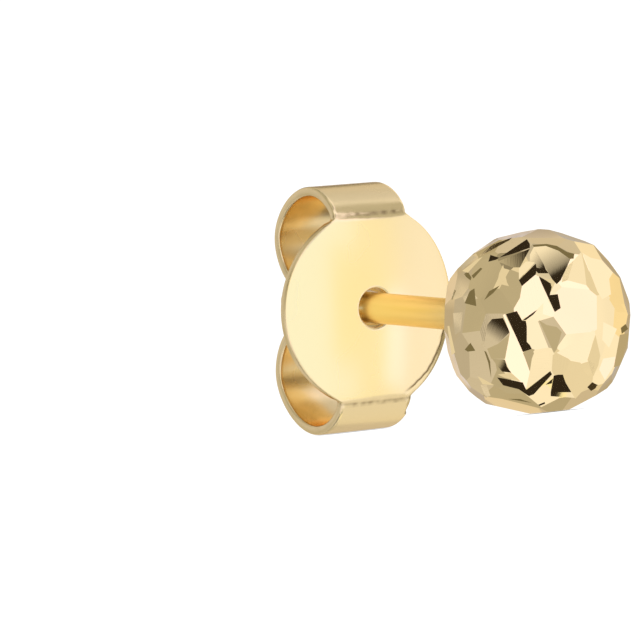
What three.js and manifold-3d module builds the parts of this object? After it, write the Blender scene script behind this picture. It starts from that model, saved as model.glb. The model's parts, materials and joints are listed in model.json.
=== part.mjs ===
// A ball stud earring: a diamond-cut gold ball with its post soldered on, and the butterfly back
// that is pushed onto the post from behind the ear lobe.
//
// Millimetres, +Z up. The earring lies on a table as it would by itself: on a facet of the ball and
// on the lower loop of the butterfly back. The ball's front looks along -Y and the post runs
// towards +Y, rising a little because the back is taller than the ball. The origin is on the table,
// under the middle of the earring.
//
// Inside the file the earring is built about its own axis: the ball's centre at (0, 0, 0) and the
// post along +Y. The last lines tilt it to its rest and set it on the table.

import * as THREE from "three";
import { mergeVertices } from "three/addons/utils/BufferGeometryUtils.js";
import Module from "manifold-3d";

const wasm = await Module();
wasm.setup();

// The ball, measured before its facets are cut.
const BALL_DIAMETER = 4.2;
const FOOT_DEPTH = 0.925; // how far out the facet it rests on lies, as a share of the ball's radius
const SEAT_DEPTH = 0.945; // the same for the facet that the post is soldered to
const HIDDEN_DEPTH = 0.932; // the same for the middle of the facets on the far side
const HIDDEN_DEPTH_SPREAD = 0.018; // how much those differ, up and down
const HIDDEN_FACETS = 118; // places on the whole ball that the far side's facets are picked from
const HIDDEN_WANDER = 0.16; // how far each strays from its place, as a share of the radius
const FACET_CLEARANCE = 0.23; // least distance between two facets' middles, as the same share

// The post.
const POST_DIAMETER = 0.7;
const POST_LENGTH = 7.7; // from the facet it is soldered to, to its tip
const POST_SIDES = 24;
const TIP_ROUNDING = 0.2;
const SOLDER_SPREAD = 0.16; // how far the solder reaches out round the post

// The butterfly back, bent from one piece of sheet: a disc that is bowed towards the ball, with a
// strip folded back from its top and another from its bottom.
const LOBE_GAP = 4.16; // from the seat facet to the middle of the disc
const SHEET = 0.21;
const DISC_DIAMETER = 4.56;
const SIDE_DROP = 0.29; // how far the disc's left and right edges lie behind its middle
const FOLD_DROP = 0.03; // the same for the folds at its top and bottom
const HOLE_DIAMETER = 0.88;
const HOLE_ROUNDING = 0.07;
const STRIP_WIDTH = 1.96; // where it leaves the disc
const STRIP_END_WIDTH = 1.76;
const GRIP_CLEARANCE = 0.03; // between the post and each strip that grips it
const FOLD_SHARE = 0.88; // where the strips fold back, as a share of the disc's radius
const FOLD_LEAN = 0.24; // how far back a strip leans straight after its crease, over how far it rises

// The two loops, which weren't bent quite alike. rise is from the post's axis to the loop's outside
// and depth from the disc's side edge to the loop's back, both in millimetres. The others are shares of
// the loop's own depth or rise.
const LOOPS = {
  upper: { side: 1, rise: 2.77, depth: 2.33, crest: 0.33, back: 0.53, grip: 0.62, end: 0.06 },
  lower: { side: -1, rise: 2.9, depth: 2.5, crest: 0.37, back: 0.54, grip: 0.6, end: 0.05 },
};
const CURVE_TENSION = 0.48; // length of a bend's handles as a share of what it spans
const FOLD_TENSION = 0.42; // the same where a strip leaves its fold
const CREST_TENSION = 0.56; // the same where it comes over the crest

const DISC_ROWS = 8; // sections from the disc's middle to a fold
const BEND_ROWS = 8; // sections along each bend of a loop
const ACROSS = 10; // panels across the sheet

// Facets on the side that shows, chosen by eye. right and up are where a facet's middle shows and
// depth is how far out it lies, all as shares of the ball's radius, when the ball is looked at from
// LOOK: so many degrees aside from its front and above its level, with the picture rolled back.
const LOOK = { aside: 36.2, above: 5.1, roll: 1.9 };
const FACETS = [
  { right: 0.12, up: 0.9, depth: 0.95 },
  { right: 0.3, up: 0.82, depth: 0.962 },
  { right: 0.54, up: 0.77, depth: 0.955 },
  { right: -0.27, up: 0.84, depth: 0.958 },
  { right: -0.45, up: 0.81, depth: 0.966 },
  { right: -0.23, up: 0.765, depth: 0.966 },
  { right: -0.25, up: 0.66, depth: 0.962 },
  { right: -0.49, up: 0.69, depth: 0.978 },
  { right: -0.55, up: 0.46, depth: 0.95 },
  { right: -0.39, up: 0.42, depth: 0.961 },
  { right: -0.24, up: 0.36, depth: 0.95 },
  { right: -0.42, up: 0.22, depth: 0.955 },
  { right: -0.71, up: 0.25, depth: 0.968 },
  { right: -0.8, up: 0.4, depth: 0.96 },
  { right: -0.75, up: 0.56, depth: 0.972 },
  { right: -0.68, up: 0.7, depth: 0.985 },
  { right: -0.93, up: 0.3, depth: 0.958 },
  { right: -0.95, up: 0.08, depth: 0.95 },
  { right: -0.83, up: 0.08, depth: 0.958 },
  { right: -0.68, up: 0.05, depth: 0.955 },
  { right: -0.43, up: -0.08, depth: 0.95 },
  { right: -0.3, up: -0.27, depth: 0.962 },
  { right: -0.2, up: -0.08, depth: 0.965 },
  { right: -0.06, up: 0.27, depth: 0.95 },
  { right: -0.09, up: 0.48, depth: 0.963 },
  { right: -0.12, up: 0.57, depth: 0.96 },
  { right: 0.12, up: 0.64, depth: 0.94 },
  { right: 0.11, up: 0.4, depth: 0.965 },
  { right: 0.19, up: 0.21, depth: 0.962 },
  { right: 0.2, up: 0.36, depth: 0.966 },
  { right: 0.08, up: 0.13, depth: 0.957 },
  { right: 0.4, up: 0.13, depth: 0.93 },
  { right: 0.38, up: 0.5, depth: 0.943 },
  { right: 0.58, up: 0.44, depth: 0.958 },
  { right: 0.68, up: 0.53, depth: 0.955 },
  { right: 0.83, up: 0.33, depth: 0.95 },
  { right: 0.72, up: 0.1, depth: 0.952 },
  { right: 0.88, up: 0.04, depth: 0.95 },
  { right: 0.42, up: -0.27, depth: 0.948 },
  { right: 0.62, up: -0.27, depth: 0.958 },
  { right: 0.77, up: -0.3, depth: 0.955 },
  { right: 0.66, up: -0.5, depth: 0.96 },
  { right: 0.9, up: -0.26, depth: 0.958 },
  { right: 0.14, up: -0.07, depth: 0.955 },
  { right: -0.01, up: -0.13, depth: 0.958 },
  { right: -0.09, up: -0.37, depth: 0.965 },
  { right: -0.2, up: -0.47, depth: 0.952 },
  { right: 0.04, up: -0.45, depth: 0.953 },
  { right: 0.27, up: -0.43, depth: 0.957 },
  { right: 0.45, up: -0.57, depth: 0.953 },
  { right: 0.25, up: -0.67, depth: 0.958 },
  { right: -0.29, up: -0.66, depth: 0.968 },
  { right: 0.0, up: -0.65, depth: 0.968 },
  { right: 0.08, up: -0.76, depth: 0.96 },
  { right: 0.22, up: -0.86, depth: 0.965 },
  { right: -0.2, up: -0.86, depth: 0.955 },
  { right: -0.4, up: -0.44, depth: 0.967 },
  { right: -0.44, up: -0.28, depth: 0.958 },
  { right: -0.36, up: -0.58, depth: 0.965 },
  { right: -0.6, up: -0.42, depth: 0.95 },
  { right: -0.8, up: -0.32, depth: 0.955 },
  { right: -0.56, up: -0.63, depth: 0.975 },
  { right: -0.38, up: -0.77, depth: 0.97 },
  { right: 0.58, up: -0.71, depth: 0.978 },
  { right: -0.66, up: -0.14, depth: 0.965 },
  { right: -0.9, up: -0.12, depth: 0.962 },
  { right: 0.44, up: -0.83, depth: 0.958 },
  { right: 0.05, up: 0.985, depth: 0.912 },
  { right: -0.17, up: 0.98, depth: 0.917 },
  { right: 0.28, up: 0.955, depth: 0.922 },
  { right: -0.48, up: 0.87, depth: 0.95 },
  { right: -0.8, up: 0.59, depth: 1.0 },
  { right: -0.94, up: -0.31, depth: 0.948 },
  { right: -0.78, up: -0.61, depth: 0.98 },
  { right: -0.58, up: -0.8, depth: 0.975 },
  { right: 0.96, up: 0.24, depth: 0.94 },
  { right: 0.98, up: -0.12, depth: 0.935 },
  { right: 0.9, up: -0.42, depth: 0.94 },
  { right: 0.75, up: -0.64, depth: 0.96 },
  { right: 0.75, up: 0.64, depth: 0.95 },
];

const GOLD = { color: 0xf5c76e, roughness: 0.12, metalness: 1 };

const ballRadius = BALL_DIAMETER / 2;
const postRadius = POST_DIAMETER / 2;
const discRadius = DISC_DIAMETER / 2;
const seatY = SEAT_DEPTH * ballRadius;
const discMiddleY = seatY + LOBE_GAP + SHEET / 2; // the middle of the sheet, at the disc's middle
const discEdgeY = discMiddleY + SIDE_DROP; // the same at the disc's left and right edges
const gripHeight = postRadius + GRIP_CLEARANCE + SHEET / 2; // the same at the strips that grip

function toSolid(geometry) {
  const bare = geometry.clone();
  bare.deleteAttribute("normal");
  bare.deleteAttribute("uv");
  const merged = mergeVertices(bare, 1e-5);
  return new wasm.Manifold(
    new wasm.Mesh({
      numProp: 3,
      vertProperties: new Float32Array(merged.attributes.position.array),
      triVerts: new Uint32Array(merged.index.array),
    }),
  );
}

function toGeometry(solid) {
  const mesh = solid.getMesh();
  const geometry = new THREE.BufferGeometry();
  const position = new THREE.BufferAttribute(new Float32Array(mesh.vertProperties), 3);
  geometry.setAttribute("position", position);
  geometry.setIndex(new THREE.BufferAttribute(new Uint32Array(mesh.triVerts), 1));
  geometry.computeVertexNormals();
  return geometry;
}

// A solid turned round the Y axis, from a profile of [radius, y] that runs from one end of the axis
// to the other.
function turned(profile, sides) {
  const points = profile.map(([radius, y]) => new THREE.Vector2(radius, y));
  return toSolid(new THREE.LatheGeometry(points, sides));
}

// The middle line of one half of the sheet, as y and z seen from the side: up from the disc's
// middle, over the fold, round the loop and along the post.
function sheetLine({ rise, depth, crest, back, grip, end }) {
  const foldHeight = FOLD_SHARE * discRadius;
  const discY = (height) => discMiddleY + FOLD_DROP * (height / foldHeight) ** 2;
  const outerY = depth - SHEET / 2;
  const outerZ = rise - SHEET / 2;

  const at = (y, z) => new THREE.Vector2(discEdgeY + y, z);
  const fold = new THREE.Vector2(discY(foldHeight), foldHeight);
  const top = at(crest * depth, outerZ);
  const rear = at(outerY, back * rise);
  const gripStart = at(grip * depth, gripHeight);
  const gripEnd = at(end * depth, gripHeight);

  const foldReach = FOLD_TENSION * (top.y - fold.y);
  const bend = (from, fromDirection, fromShare, to, toDirection, toShare) => {
    const handle = (point, [dy, dz], share) =>
      new THREE.Vector2(
        point.x + dy * share * Math.abs(to.x - from.x),
        point.y + dz * share * Math.abs(to.y - from.y),
      );
    return new THREE.CubicBezierCurve(
      from,
      handle(from, fromDirection, fromShare),
      handle(to, toDirection, toShare),
      to,
    );
  };
  const curves = [
    new THREE.CubicBezierCurve(
      fold,
      new THREE.Vector2(fold.x + FOLD_LEAN * foldReach, fold.y + foldReach),
      new THREE.Vector2(top.x - CREST_TENSION * (top.x - fold.x), top.y),
      top,
    ),
    bend(top, [1, 0], CURVE_TENSION, rear, [0, 1], CURVE_TENSION),
    bend(rear, [0, -1], CURVE_TENSION, gripStart, [1, 0], CURVE_TENSION),
    new THREE.LineCurve(gripStart, gripEnd),
  ];

  const line = [];
  for (let row = 0; row < DISC_ROWS; row++) {
    const height = (foldHeight * row) / DISC_ROWS;
    line.push({ y: discY(height), z: height });
  }
  curves.forEach((curve, which) => {
    const rows = which === curves.length - 1 ? 2 : BEND_ROWS;
    const points = curve.getSpacedPoints(rows);
    if (which > 0) points.shift();
    points.forEach((p) => line.push({ y: p.x, z: p.y }));
  });
  return { line, foldHeight };
}

// The flat blank's half width at a distance along it from the disc's middle.
function halfWidth(along, wholeLength) {
  const disc = along < discRadius ? Math.sqrt(discRadius ** 2 - along ** 2) : 0;
  const stripStart = Math.sqrt(discRadius ** 2 - (STRIP_WIDTH / 2) ** 2);
  const share = Math.max(0, (along - stripStart) / (wholeLength - stripStart));
  const strip = STRIP_WIDTH / 2 + share * (STRIP_END_WIDTH / 2 - STRIP_WIDTH / 2);
  return Math.max(disc, strip);
}

// The sections across the sheet, from the disc's middle to a strip's end: where each lies, which way
// its outside faces, how wide it is and how much of the disc's bow it keeps.
function sections(loop) {
  const { line, foldHeight } = sheetLine(loop);
  const along = [0];
  for (let i = 1; i < line.length; i++) {
    along.push(along[i - 1] + Math.hypot(line[i].y - line[i - 1].y, line[i].z - line[i - 1].z));
  }
  const wholeLength = along[along.length - 1];
  return line.map(({ y, z }, i) => {
    const before = line[Math.max(i - 1, 0)];
    const after = line[Math.min(i + 1, line.length - 1)];
    const run = Math.hypot(after.y - before.y, after.z - before.z);
    const dy = i === 0 ? 0 : (after.y - before.y) / run;
    const dz = i === 0 ? 1 : (after.z - before.z) / run;
    const pastFold = (along[i] - foldHeight) / (discRadius - foldHeight);
    const flatness = THREE.MathUtils.clamp(pastFold, 0, 1);
    return {
      y,
      z: loop.side * z,
      outY: -dz,
      outZ: loop.side * dy,
      half: halfWidth(along[i], wholeLength),
      bow: SIDE_DROP * (1 - flatness),
    };
  });
}

// One closed skin round all the sections, from the lower strip's end over the disc to the upper's.
function bentSheet() {
  const upper = sections(LOOPS.upper);
  const lower = sections(LOOPS.lower);
  const rows = [...lower.slice(1).reverse(), ...upper];
  const corners = [];
  const ring = 2 * (ACROSS + 1); // points round a section: the outside one way, the inside back
  rows.forEach(({ y, z, outY, outZ, half, bow }) => {
    for (let k = 0; k < ring; k++) {
      const outside = k <= ACROSS;
      const share = (outside ? k : ring - 1 - k) / ACROSS;
      const x = half * (2 * share - 1);
      const reach = outside ? SHEET / 2 : -SHEET / 2;
      corners.push(x, y + reach * outY + bow * (x / discRadius) ** 2, z + reach * outZ);
    }
  });
  const faces = [];
  for (let row = 0; row + 1 < rows.length; row++) {
    for (let k = 0; k < ring; k++) {
      const a = row * ring + k;
      const b = row * ring + ((k + 1) % ring);
      faces.push(a, b, b + ring, a, b + ring, a + ring);
    }
  }
  const lastRow = (rows.length - 1) * ring;
  for (let k = 0; k < ACROSS; k++) {
    const near = k;
    const far = ring - 1 - k;
    faces.push(near, far, near + 1, near + 1, far, far - 1);
    faces.push(lastRow + near, lastRow + near + 1, lastRow + far);
    faces.push(lastRow + near + 1, lastRow + far - 1, lastRow + far);
  }
  const geometry = new THREE.BufferGeometry();
  geometry.setAttribute("position", new THREE.Float32BufferAttribute(corners, 3));
  geometry.setIndex(faces);
  return geometry;
}

// The hole in the disc, widening to a rounded rim at the front.
function holeCutter() {
  const radius = HOLE_DIAMETER / 2;
  const frontY = discMiddleY - SHEET / 2;
  return turned(
    [
      [0, frontY - SHEET],
      [radius + HOLE_ROUNDING, frontY - SHEET],
      [radius + HOLE_ROUNDING, frontY],
      [radius + 0.3 * HOLE_ROUNDING, frontY + 0.3 * HOLE_ROUNDING],
      [radius, frontY + HOLE_ROUNDING],
      [radius, frontY + 2 * SHEET],
      [0, frontY + 2 * SHEET],
    ],
    POST_SIDES,
  );
}

function butterflyBack() {
  return toSolid(bentSheet()).subtract(holeCutter());
}

// The angle that the earring leans to on a flat table: the facet under the ball and the back's
// lowest edge both touch.
function restingTilt(back) {
  const corners = back.getMesh().vertProperties;
  const footRadius = FOOT_DEPTH * ballRadius;
  let tilt = -Math.PI / 2;
  for (let i = 0; i < corners.length; i += 3) {
    const away = Math.hypot(corners[i + 1], corners[i + 2]);
    if (away > footRadius && corners[i + 2] < 0) {
      const below = Math.atan2(-corners[i + 2], corners[i + 1]);
      tilt = Math.max(tilt, below - Math.asin(footRadius / away));
    }
  }
  return tilt;
}

// The way a facet of the table faces, in the earring's own frame.
function facing({ right, up }) {
  const turn = new THREE.Euler(
    THREE.MathUtils.degToRad(-LOOK.above),
    0,
    THREE.MathUtils.degToRad(-LOOK.aside),
    "ZXY",
  );
  const roll = THREE.MathUtils.degToRad(LOOK.roll);
  const across = right * Math.cos(roll) + up * Math.sin(roll);
  const upward = up * Math.cos(roll) - right * Math.sin(roll);
  const towards = Math.sqrt(1 - right * right - up * up);
  return new THREE.Vector3(across, -towards, upward).applyEuler(turn);
}

// Numbers from 0 to 1 that look random and are the same every time.
function scatter(index, salt) {
  const wave = Math.sin(index * 12.9898 + salt * 78.233) * 43758.5453;
  return wave - Math.floor(wave);
}

// Every facet as the way it faces and how far out it lies: the foot and the seat, the ones that
// show, and the rest of the ball filled from a spiral wherever none is near.
function facets(tilt) {
  const cuts = [
    { facing: new THREE.Vector3(0, -Math.sin(tilt), -Math.cos(tilt)), depth: FOOT_DEPTH },
    { facing: new THREE.Vector3(0, 1, 0), depth: SEAT_DEPTH },
    ...FACETS.map((facet) => ({ facing: facing(facet), depth: facet.depth })),
  ];
  const goldenAngle = Math.PI * (3 - Math.sqrt(5));
  for (let i = 0; i < HIDDEN_FACETS; i++) {
    const level = 1 - (2 * i + 1) / HIDDEN_FACETS;
    const out = Math.sqrt(1 - level * level);
    const way = new THREE.Vector3(
      out * Math.cos(i * goldenAngle) + HIDDEN_WANDER * (scatter(i, 1) - 0.5),
      level + HIDDEN_WANDER * (scatter(i, 2) - 0.5),
      out * Math.sin(i * goldenAngle) + HIDDEN_WANDER * (scatter(i, 3) - 0.5),
    ).normalize();
    const clear = cuts.every((cut) => cut.facing.distanceTo(way) > FACET_CLEARANCE);
    const depth = HIDDEN_DEPTH + HIDDEN_DEPTH_SPREAD * (2 * scatter(i, 4) - 1);
    if (clear) cuts.push({ facing: way, depth });
  }
  return cuts;
}

function cutBall(tilt) {
  const blank = new THREE.BoxGeometry(BALL_DIAMETER, BALL_DIAMETER, BALL_DIAMETER);
  return facets(tilt).reduce(
    (ball, { facing: way, depth }) =>
      ball.trimByPlane([-way.x, -way.y, -way.z], -depth * ballRadius),
    toSolid(blank),
  );
}

function post() {
  const tipY = seatY + POST_LENGTH;
  const profile = [
    [0, 0],
    [postRadius + SOLDER_SPREAD, 0],
    [postRadius + SOLDER_SPREAD, seatY],
    [postRadius + 0.3 * SOLDER_SPREAD, seatY + 0.3 * SOLDER_SPREAD],
    [postRadius, seatY + SOLDER_SPREAD],
  ];
  const roundingSteps = 4;
  for (let i = 0; i <= roundingSteps; i++) {
    const angle = (Math.PI / 2) * (i / roundingSteps);
    profile.push([
      postRadius - TIP_ROUNDING * (1 - Math.cos(angle)),
      tipY - TIP_ROUNDING * (1 - Math.sin(angle)),
    ]);
  }
  profile.push([0, tipY]);
  return turned(profile, POST_SIDES);
}

function named(name, solid) {
  const mesh = new THREE.Mesh(toGeometry(solid), new THREE.MeshStandardMaterial(GOLD));
  mesh.name = name;
  return mesh;
}

const back = butterflyBack();
const tilt = restingTilt(back);
const stud = new THREE.Group();
stud.add(named("ball_and_post", cutBall(tilt).add(post())));
stud.add(named("butterfly_back", back));
stud.rotation.x = tilt;

const earring = new THREE.Group();
earring.add(stud);
const bounds = new THREE.Box3().setFromObject(earring, true);
const middle = bounds.getCenter(new THREE.Vector3());
stud.position.set(-middle.x, -middle.y, -bounds.min.z);

export default earring;
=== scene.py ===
# %% [markdown]
# # A ball stud earring in yellow gold
#
# A small stud with a diamond-cut ball, a plain round post and a butterfly back. The CAD model is
# the frame: it says how big each piece is and where it lies. In this lesson each piece is built
# again with finer detail over its CAD solid, and then gets the finish of the real earring.

# %% Load the frame
import json
import math
import random

import bmesh
import bpy
from mathutils import Matrix, Vector, kdtree
from mathutils.noise import noise


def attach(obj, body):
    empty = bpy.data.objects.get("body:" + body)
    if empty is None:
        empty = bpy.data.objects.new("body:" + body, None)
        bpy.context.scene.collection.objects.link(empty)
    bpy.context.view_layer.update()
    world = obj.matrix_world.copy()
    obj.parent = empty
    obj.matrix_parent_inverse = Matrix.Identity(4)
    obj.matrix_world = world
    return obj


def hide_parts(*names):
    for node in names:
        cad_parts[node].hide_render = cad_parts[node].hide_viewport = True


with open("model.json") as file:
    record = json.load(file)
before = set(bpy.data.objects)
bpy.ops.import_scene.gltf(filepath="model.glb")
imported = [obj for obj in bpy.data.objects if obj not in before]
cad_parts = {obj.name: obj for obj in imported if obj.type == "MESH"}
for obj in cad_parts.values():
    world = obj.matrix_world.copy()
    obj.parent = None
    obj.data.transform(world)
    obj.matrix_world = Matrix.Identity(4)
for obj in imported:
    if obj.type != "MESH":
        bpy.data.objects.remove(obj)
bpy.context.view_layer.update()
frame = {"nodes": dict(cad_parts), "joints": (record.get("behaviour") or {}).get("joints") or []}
MM = 0.001

# %% [markdown]
# ## The earring's own axis
#
# The post runs through everything, so the pieces are built about it as on a lathe: x to the right,
# y along the post with the ball's centre at 0, and z up, all in millimetres. The earring leans back
# a little where it lies, and `lie` carries each finished piece to its place in the frame.

# %% Find the post's axis
TIP_FROM_CENTRE = 9.6845  # mm, from the ball's centre to the tip of the post
SEAT_FROM_CENTRE = 1.9845  # mm, to the facet that the post is soldered to

along_post = Vector(frame["joints"][0]["axis"]).normalized()
stud_points = [v.co for v in frame["nodes"]["ball_and_post"].data.vertices]
tip_reach = max(p.dot(along_post) for p in stud_points)
tip_points = [p for p in stud_points if tip_reach - p.dot(along_post) < 0.001 * MM]
tip = sum(tip_points, Vector()) / len(tip_points)
centre = tip - along_post * TIP_FROM_CENTRE * MM
lie = Matrix.Translation(centre) @ Matrix((
    (1, 0, 0, 0),
    (0, along_post.y, -along_post.z, 0),
    (0, along_post.z, along_post.y, 0),
    (0, 0, 0, 1),
)) @ Matrix.Scale(MM, 4)
print("ball's centre in mm:", [round(c / MM, 3) for c in centre])

# %% [markdown]
# ## The camera
#
# The picture is taken through a long lens from 100 mm away, 33 degrees round to the stud's left and
# about half a millimetre above the table. A stud that lies by itself leans back, and the picture is
# turned by part of that lean, so that neither the post nor the back looks too far out of true.

# %% Place the camera
PICTURE = 640  # pixels each way
SENSOR = 36  # mm
CAMERA_AWAY = 0.1  # m from the ball
PIXELS_PER_MM = 46.5  # at the ball
BALL_ACROSS = 537.8  # pixels, from the picture's left edge to the ball's centre
BALL_DOWN = 322  # pixels, from its top edge
CAMERA_ASIDE = math.radians(-33.4)
CAMERA_ABOVE = math.radians(-1.1)
CAMERA_ROLL = math.radians(6.2)


def new_object(name, data):
    made = bpy.data.objects.new(name, data)
    bpy.context.scene.collection.objects.link(made)
    return made


to_camera = Vector((
    math.sin(CAMERA_ASIDE) * math.cos(CAMERA_ABOVE),
    -math.cos(CAMERA_ASIDE) * math.cos(CAMERA_ABOVE),
    math.sin(CAMERA_ABOVE),
))
level = Vector((math.cos(CAMERA_ASIDE), math.sin(CAMERA_ASIDE), 0))
upright = to_camera.cross(level)
right = level * math.cos(CAMERA_ROLL) - upright * math.sin(CAMERA_ROLL)
up = level * math.sin(CAMERA_ROLL) + upright * math.cos(CAMERA_ROLL)
aside = (BALL_ACROSS - PICTURE / 2) / PIXELS_PER_MM * MM
above = (PICTURE / 2 - BALL_DOWN) / PIXELS_PER_MM * MM

camera_data = bpy.data.cameras.new("camera")
camera_data.sensor_width = SENSOR
camera_data.lens = SENSOR * PIXELS_PER_MM * (CAMERA_AWAY / MM) / PICTURE
camera_data.clip_start = 0.01
camera_data.clip_end = 2
camera = new_object("camera", camera_data)
camera.matrix_world = Matrix((right, up, to_camera)).transposed().to_4x4()
camera.location = centre - right * aside - up * above + to_camera * CAMERA_AWAY
bpy.context.scene.camera = camera
print("lens in mm:", round(camera_data.lens))
print("camera above the table in mm:", round(camera.location.z / MM, 2))

# %% [markdown]
# ## A tent of light
#
# Polished gold has no colour of its own until it mirrors something. Small jewellery is lit inside a
# white tent, with dark flags and bright cards clipped to the tent's wall one by one until the piece
# sparkles. Here the tent is a sphere round the ball. A facet seen at some place on the ball mirrors
# one place on the tent, so each patch of the tent is planned from the facet that shows it.

# %% Plan the tent
LIGHTS = {
    "black": (0.03, 0.024, 0.02),
    "brown": (0.06, 0.05, 0.035),
    "olive": (0.21, 0.2, 0.15),
    "tan": (0.5, 0.5, 0.5),
    "beige": (0.64, 0.65, 0.75),
    "fair": (0.8, 0.8, 0.83),
    "peach": (0.95, 0.9, 0.8),
    "butter": (1.03, 1.04, 0.88),
    "cream": (0.99, 1.02, 1.17),
    "pale": (1.06, 1.1, 1.36),
    "white": (1.25, 1.22, 1.65),
}

# Each place is where a facet that mirrors the patch shows on the ball, right and up in ball radii.
PATCHES = (
    # dark flags, hung where no facet of the first pass mirrors them
    {"light": "black", "places": (
        (-0.34, 0.76), (0, 0.54), (-0.01, 0.4), (0.27, 0.12), (-0.47, -0.5), (-0.19, -0.63),
        (-0.12, -0.66), (0.21, -0.59))},
    {"light": "brown", "places": ((-0.55, 0.77), (0.49, -0.73))},
    {"light": "olive", "places": ((-0.39, 0.7), (-0.64, 0.2), (0.88, -0.15))},
    # bright cards
    {"light": "white", "places": ((-0.3, -0.27), (-0.06, 0.27), (0.4, 0.13), (0.38, 0.5))},
    {"light": "pale", "places": (
        (0.08, 0.13), (0.2, 0.36), (0.68, 0.53), (0.36, -0.1), (0.42, -0.27), (0.7, -0.17),
        (-0.01, -0.13), (0.19, 0.22))},
    {"light": "cream", "places": (
        (0.54, 0.77), (0.72, 0.1), (0.62, -0.27), (0.77, -0.3), (0.66, -0.5), (-0.2, -0.47),
        (0.04, -0.45), (0.08, -0.76), (-0.19, -0.09))},
    {"light": "butter", "places": ((-0.2, 0.04), (0.54, -0.12), (0.02, -0.68), (0.27, -0.68))},
    {"light": "peach", "places": ((0.88, 0.04), (0.83, 0.33))},
    # grey cloth
    {"light": "tan", "places": (
        (-0.45, 0.82), (-0.5, 0.68), (-0.72, 0.26), (-0.4, -0.43), (-0.3, -0.67), (-0.09, -0.37),
        (-0.55, 0.46), (-0.24, 0.36), (-0.42, 0.22), (-0.56, 0.04), (-0.72, 0.05), (-0.95, 0.08),
        (-0.75, 0.56), (-0.8, -0.32), (-0.36, -0.57), (-0.38, -0.77), (-0.2, -0.86), (0.22, -0.86),
        (0.98, -0.06), (0.9, -0.26))},
    {"light": "beige", "places": (
        (-0.23, 0.78), (0.12, 0.9), (0.3, 0.82), (-0.27, 0.87), (-0.48, -0.2), (-0.83, 0.1),
        (-0.93, 0.3), (-0.8, 0.4), (-0.66, -0.14), (-0.9, -0.12), (-0.62, -0.38), (-0.6, -0.63),
        (0.44, -0.83), (0.14, -0.07))},
    {"light": "fair", "places": (
        (-0.1, 0.47), (0.12, 0.41), (0.6, -0.7), (-0.12, 0.6), (-0.39, 0.42), (0.45, -0.57),
        (0.27, -0.43), (0.58, 0.44))},
    # pairs that run softly into each other, for the cuts that go from bright to dark
    {"light": "cream", "blur": 0.3, "places": ((0.12, 0.7),)},
    {"light": "black", "blur": 0.3, "places": ((0.13, 0.55),)},
    {"light": "tan", "blur": 0.2, "places": ((-0.31, 0.61),)},
    {"light": "black", "blur": 0.2, "places": ((-0.14, 0.71),)},
    {"light": "beige", "blur": 0.15, "places": ((-0.43, -0.1),)},
    {"light": "black", "blur": 0.15, "places": ((-0.33, -0.01),)},
)

# %% [markdown]
# A mirror sends the line of sight off at the angle at which it comes in. That gives the place on the
# tent that belongs to each place on the ball.

# %% Find what the ball mirrors
sight = (camera.location - centre).normalized()
sight_right = up.cross(sight).normalized()
sight_up = sight.cross(sight_right)


def mirrored_in(across, upward):
    """The way from the ball to what is mirrored at these shares of its radius, right and up."""
    out = math.sqrt(1 - across * across - upward * upward)
    normal = sight_right * across + sight_up * upward + sight * out
    return normal * (2 * out) - sight


spots = [(place, patch) for patch in PATCHES for place in patch["places"]]
plan = kdtree.KDTree(len(spots))
for number, (place, patch) in enumerate(spots):
    plan.insert(mirrored_in(*place), number)
plan.balance()
print("patches on the tent:", len(spots))

# %% [markdown]
# The wall of the tent takes the light of the patch that is nearest, with a crisp or a soft border as
# the plan says. Real cloth is never even, so the light wavers a little. The tent is seen only where
# the metal mirrors it.

# %% Get ready to make lights
METAL_ONLY = ("camera", "shadow", "diffuse")  # rays that miss what only the metal shows


def add(tree, kind, **values):
    """A new shader node, with the values set on its sockets or else on the node itself."""
    node = tree.nodes.new("ShaderNode" + kind)
    for key, value in values.items():
        if key in node.inputs:
            node.inputs[key].default_value = value
        else:
            setattr(node, key, value)
    return node


def join(one, output, other, target):
    """Link an output of one shader node to a socket of another."""
    one.id_data.links.new(one.outputs[output], other.inputs[target])


def mesh_from(name, shape):
    mesh = bpy.data.meshes.new(name)
    shape.to_mesh(mesh)
    shape.free()
    return mesh


def plain_light(name, colour, strength=1.0):
    """A material that shines by itself."""
    material = bpy.data.materials.new(name)
    material.use_nodes = True
    material.cycles.emission_sampling = "NONE"
    tree = material.node_tree
    tree.nodes.clear()
    glow = add(tree, "Emission", Color=(*colour, 1), Strength=strength)
    join(glow, 0, add(tree, "OutputMaterial"), "Surface")
    return material


def put_in_stage(mesh, *materials, unseen_by=METAL_ONLY):
    """Set up something that lights or surrounds the earring and is no part of it."""
    for material in materials:
        mesh.materials.append(material)
    made = new_object(mesh.name, mesh)
    for ray in unseen_by:
        setattr(made, "visible_" + ray, False)
    return made


# %% Paint the tent
TENT_RADIUS = 0.3  # m
PATCH_BLUR = 0.03  # how wide the border of most patches is, as a chord on a sphere of radius 1
CLOTH_UNEVENNESS = 0.08
CLOTH_WAVES = (4, 14)  # coarse and fine, per tent radius

wall = bmesh.new()
bmesh.ops.create_icosphere(wall, subdivisions=6, radius=TENT_RADIUS)
paint = wall.verts.layers.float_color.new("paint")
for point in wall.verts:
    way = point.co.normalized()
    (_, first, near), (_, second, far) = plan.find_n(way, 2)
    nearest, next_one = spots[first][1], spots[second][1]
    blur = min(nearest.get("blur", PATCH_BLUR), next_one.get("blur", PATCH_BLUR))
    share = 0.5 + 0.5 * min(1, (far - near) / blur)
    cloth = 1 + CLOTH_UNEVENNESS * sum(noise(way * waves) for waves in CLOTH_WAVES)
    colours = zip(LIGHTS[nearest["light"]], LIGHTS[next_one["light"]])
    point[paint] = [(a * share + b * (1 - share)) * cloth for a, b in colours] + [1]

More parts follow.
